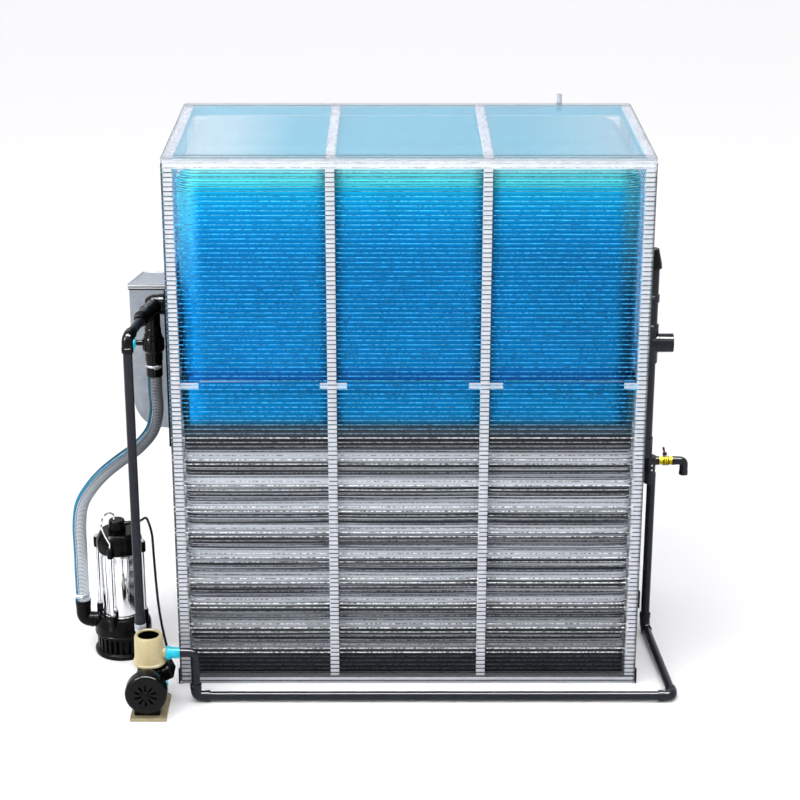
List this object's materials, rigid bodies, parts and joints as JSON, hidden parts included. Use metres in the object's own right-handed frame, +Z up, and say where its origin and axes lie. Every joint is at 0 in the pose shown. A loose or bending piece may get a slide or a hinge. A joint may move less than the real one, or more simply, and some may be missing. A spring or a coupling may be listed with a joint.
{
  "type": "household biogas digester",
  "caption": "Clear fluted panel housing on a tube frame, with a membrane tank, a blue gas bag, a feed hopper, pumps, an overflow and a tap.",
  "frame": {"origin": "middle of the housing's base, at ground level", "axes": "+Z up, +X along the long side, the front of the housing faces -Y"},
  "size_m": [2.24, 1.153, 1.945],
  "materials": {
    "frame_white": "white extruded tube, satin",
    "clear_sheet": "clear twin-wall sheet with level flutes",
    "blue_membrane": "blue coated fabric, satin",
    "dark_membrane": "dark coated fabric, satin",
    "grey_enamel": "grey paint on sheet metal",
    "teal_plastic": "moulded teal plastic",
    "pipe_grey": "dark grey extruded pipe",
    "polished_steel": "polished stainless steel",
    "beige_plastic": "moulded beige plastic",
    "brass": "bright yellow brass",
    "lever_red_brown": "dark red-brown dipped grip",
    "clear_hose": "clear spiral hose with a teal stripe",
    "gas_pipe_white": "white extruded pipe",
    "cable_rubber": "black rubber sheath",
    "black_plastic": "moulded black plastic"
  },
  "bodies": {
    "plant": {"base_tray": "frame_white", "booster_base": "beige_plastic", "booster_motor": "black_plastic", "booster_pot": "beige_plastic", "digester_tank": "dark_membrane", "feed_hopper": "grey_enamel", "feed_hose": "clear_hose", "feed_riser": "pipe_grey", "gas_holder": "blue_membrane", "gas_outlet": "gas_pipe_white", "hopper_lid": "grey_enamel", "inlet_tee": "black_plastic", "inlet_valve": "black_plastic", "lifting_bail": "polished_steel", "mid_rail_back": "frame_white", "mid_rail_front": "frame_white", "mid_rail_left": "frame_white", "mid_rail_right": "frame_white", "mounting_board": "black_plastic", "post_back_left": "frame_white", "post_back_mid_left": "frame_white", "post_back_mid_right": "frame_white", "post_back_right": "frame_white", "post_front_left": "frame_white", "post_front_mid_left": "frame_white", "post_front_mid_right": "frame_white", "post_front_right": "frame_white", "pot_union": "teal_plastic", "pump_cable": "cable_rubber", "roof_bar_left": "frame_white", "roof_bar_right": "frame_white", "sheet_back": "clear_sheet", "sheet_front": "clear_sheet", "sheet_left": "clear_sheet", "sheet_right": "clear_sheet", "sheet_roof": "clear_sheet", "skirt_back": "blue_membrane", "skirt_front": "blue_membrane", "skirt_left": "blue_membrane", "skirt_right": "blue_membrane", "standpipe": "pipe_grey", "submersible_base": "black_plastic", "submersible_cap": "black_plastic", "submersible_shell": "polished_steel", "supply_front_run": "pipe_grey", "supply_riser": "pipe_grey", "supply_side_run": "pipe_grey", "tap_spout": "pipe_grey", "tap_valve": "brass", "top_rail_back": "frame_white", "top_rail_front": "frame_white", "top_rail_left": "frame_white", "top_rail_right": "frame_white"},
    "inlet_handle": {"inlet_valve_handle": "teal_plastic"},
    "tap_lever": {"tap_handle": "lever_red_brown"}
  },
  "joints": [
    {"name": "inlet_handle_turn", "type": "hinge", "parent": "plant", "child": "inlet_handle", "pos_m": [-0.952, -0.2, 1.208], "axis": [1, 0, 0], "range_deg": [0, 90]},
    {"name": "tap_lever_turn", "type": "hinge", "parent": "plant", "child": "tap_lever", "pos_m": [0.938, 0, 0.709], "axis": [0, 0, -1], "range_deg": [0, 90]}
  ]
}
